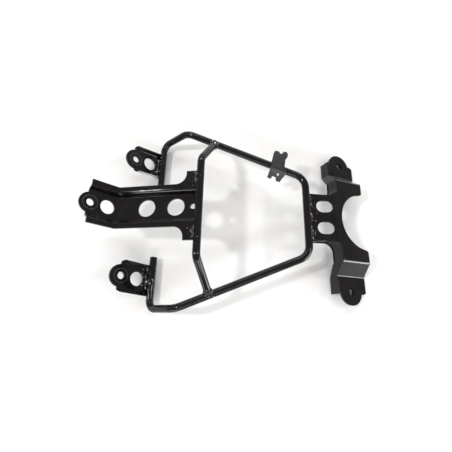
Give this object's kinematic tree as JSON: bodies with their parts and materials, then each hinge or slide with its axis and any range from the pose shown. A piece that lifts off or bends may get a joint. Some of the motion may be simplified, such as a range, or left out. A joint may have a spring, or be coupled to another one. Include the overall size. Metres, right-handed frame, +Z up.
{
  "type": "scooter rear rack",
  "caption": "Welded rear rack for a motor scooter: a bent round-bar loop with a raised cross bar, a folded front channel with round holes, two front ears and a pitched tail plate.",
  "frame": {"origin": "on the surface the rack lies on, under the middle of its overall length and width", "axes": "+X towards the tail plate, -X towards the front bracket, +Y to the rider's right-hand ear when +X is the rear, +Z up"},
  "size_m": [0.3658, 0.2496, 0.0792],
  "materials": {
    "black_paint": "gloss",
    "nut_steel": "painted over, dull thread"
  },
  "bodies": {
    "root": {"loop_bar": "black_paint", "cross_bar": "black_paint", "channel_bracket": "black_paint", "ear_bracket_left": "black_paint", "ear_bracket_right": "black_paint", "tail_plate": "black_paint", "tail_weld_nuts": "nut_steel", "clip_bracket": "black_paint", "ear_welds": "black_paint", "cross_bar_welds": "black_paint", "channel_welds": "black_paint", "tail_welds": "black_paint"}
  },
  "joints": []
}
